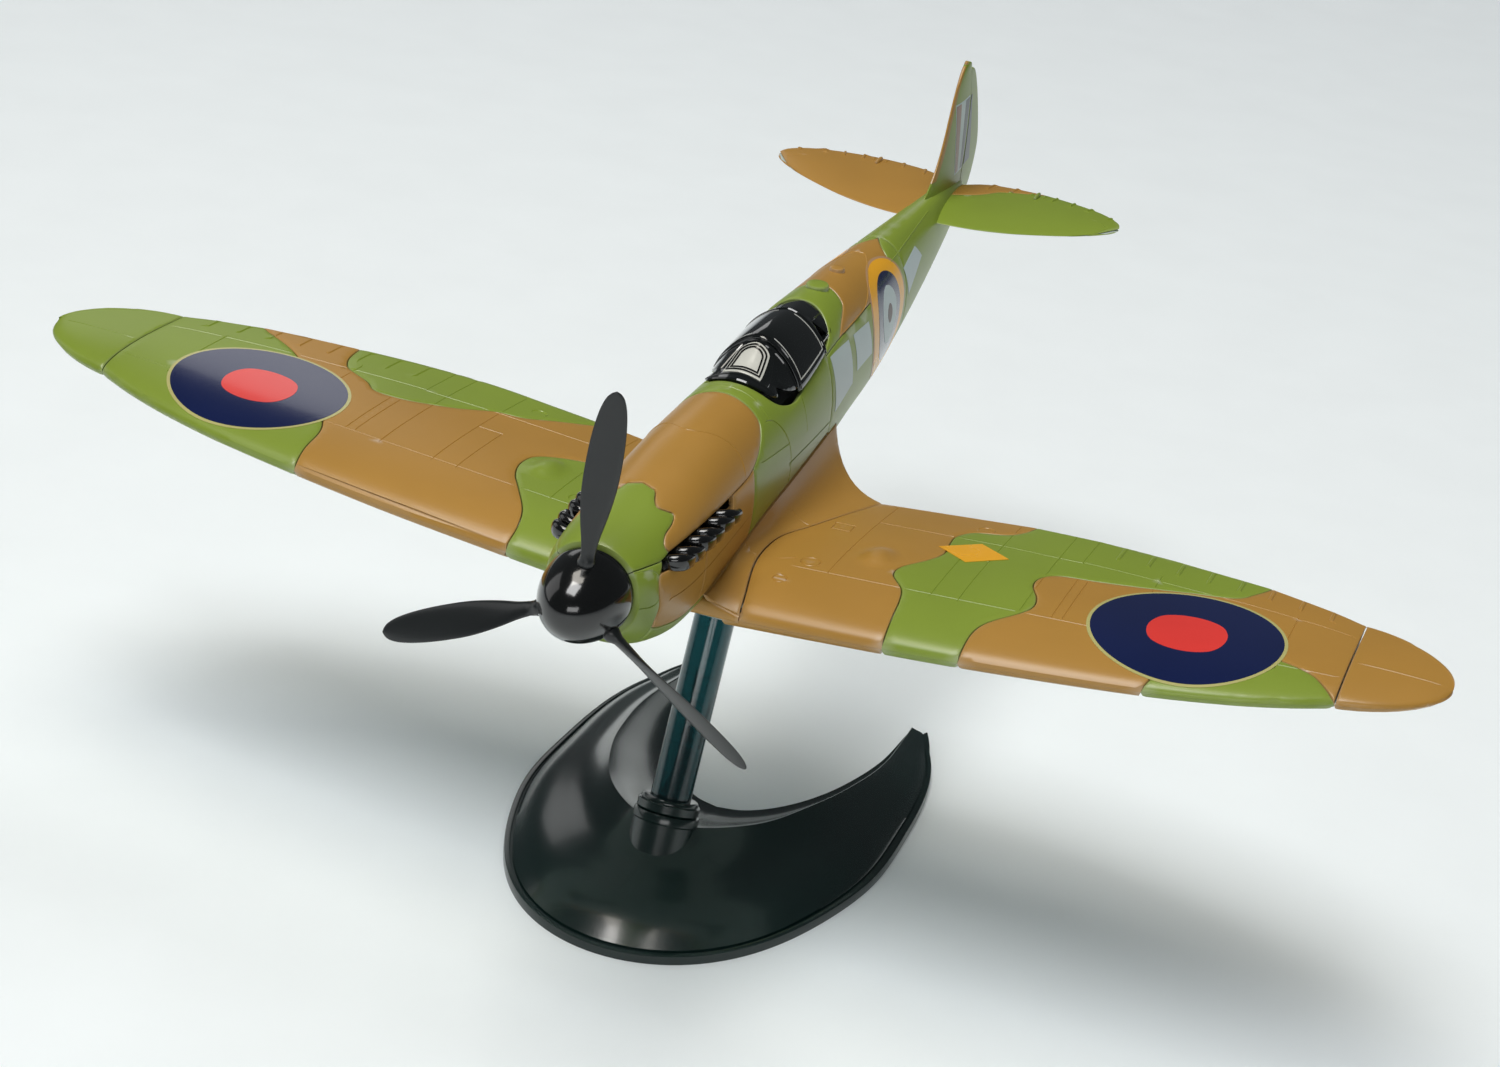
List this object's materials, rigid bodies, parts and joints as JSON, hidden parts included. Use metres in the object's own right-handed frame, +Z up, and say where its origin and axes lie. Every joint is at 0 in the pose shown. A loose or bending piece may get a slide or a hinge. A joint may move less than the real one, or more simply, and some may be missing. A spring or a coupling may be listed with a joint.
{
  "type": "propeller plane display model",
  "caption": "Low-wing single-seat propeller plane model in green and brown camouflage panels, lifting off a leaning stem on a crescent desk stand.",
  "frame": {"origin": "on the desk, where the leaning axis of the stem meets it", "axes": "+X to the plane's port side, -Y towards its nose, +Z up"},
  "size_m": [0.2616, 0.2142, 0.1269],
  "materials": {
    "stand_gloss": "polished dark green-black plastic",
    "stem_tint": "polished smoky teal plastic",
    "inner_frame": "plain moulded grey plastic",
    "bright_metal": "plain turned steel",
    "cowl_green": "satin moulded light olive green",
    "cowl_brown": "satin moulded tan",
    "side_brown": "satin moulded brown",
    "side_green": "satin moulded olive green",
    "underside": "satin moulded pale sky grey",
    "wing_green": "satin moulded olive green",
    "wing_brown": "satin moulded brown",
    "black_gloss": "polished black plastic",
    "clear_panel": "silvery white gloss panel",
    "leg_grey": "satin moulded grey",
    "tyre_black": "dull black moulded tyre"
  },
  "bodies": {
    "stand": {"stand_base": "stand_gloss", "stem_collar": "stand_gloss", "stem": "stem_tint"},
    "airframe": {"airframe_core": "inner_frame", "nose_bush": "bright_metal", "wing_spar": "inner_frame", "nose_cowl": "cowl_green", "chin_cowl": "cowl_green", "lower_cowl": "side_green", "upper_cowl": "cowl_brown", "port_cowl_side": "side_brown", "starboard_cowl_side": "side_brown", "cockpit_surround": "cowl_green", "rear_collar": "cowl_green", "spine_cover": "cowl_brown", "port_rear_side": "side_green", "starboard_rear_side": "side_green", "tail_cone": "side_green", "belly_pan": "underside", "belly_fairing": "underside", "port_wing_root": "side_brown", "starboard_wing_root": "side_brown", "canopy": "black_gloss", "windscreen_pane": "clear_panel", "port_exhausts": "black_gloss", "starboard_exhausts": "black_gloss", "fin": "wing_green", "rudder": "wing_green", "port_tailplane": "wing_green", "starboard_tailplane": "wing_brown", "tail_wheel": "tyre_black", "port_wing_inner": "wing_brown", "port_wing_band": "wing_green", "port_wing_outer": "wing_brown", "port_wing_edge": "wing_green", "port_wing_tip": "wing_brown", "starboard_wing_inner": "wing_green", "starboard_wing_middle": "wing_brown", "starboard_wing_flap": "wing_green", "starboard_wing_outer": "wing_green", "starboard_wing_tip": "wing_green", "port_lower_wing": "underside", "starboard_lower_wing": "underside", "radiator": "underside", "oil_cooler": "underside", "intake": "underside", "port_gear_pin": "bright_metal", "starboard_gear_pin": "bright_metal"},
    "propeller_unit": {"spinner": "black_gloss", "spinner_plate": "black_gloss", "propeller": "black_gloss", "prop_shaft": "bright_metal", "shaft_clip": "bright_metal"},
    "port_leg": {"port_gear_leg": "leg_grey"},
    "starboard_leg": {"starboard_gear_leg": "leg_grey"},
    "port_wheel_unit": {"port_wheel": "tyre_black"},
    "starboard_wheel_unit": {"starboard_wheel": "tyre_black"}
  },
  "joints": [
    {"name": "lift_off", "type": "slide", "parent": "stand", "child": "airframe", "axis": [0, 0.3616, 0.9323], "range_m": [0, 0.03]},
    {"name": "prop_spin", "type": "hinge", "parent": "airframe", "child": "propeller_unit", "pos_m": [0, -0.046, 0.0811], "axis": [0, 0.9987, 0.0506], "continuous": true},
    {"name": "port_gear_fold", "type": "hinge", "parent": "airframe", "child": "port_leg", "pos_m": [0.019, 0.00066, 0.06925], "axis": [0, 0.9987, 0.0506], "range_deg": [0, 85]},
    {"name": "starboard_gear_fold", "type": "hinge", "parent": "airframe", "child": "starboard_leg", "pos_m": [-0.019, 0.00066, 0.06925], "axis": [0, -0.9987, -0.0506], "range_deg": [0, 85]},
    {"name": "port_wheel_spin", "type": "hinge", "parent": "port_leg", "child": "port_wheel_unit", "pos_m": [0.04999, 0.00063, 0.06979], "axis": [-0.0175, -0.0506, 0.9986], "continuous": true},
    {"name": "starboard_wheel_spin", "type": "hinge", "parent": "starboard_leg", "child": "starboard_wheel_unit", "pos_m": [-0.04999, 0.00063, 0.06979], "axis": [0.0175, -0.0506, 0.9986], "continuous": true}
  ]
}
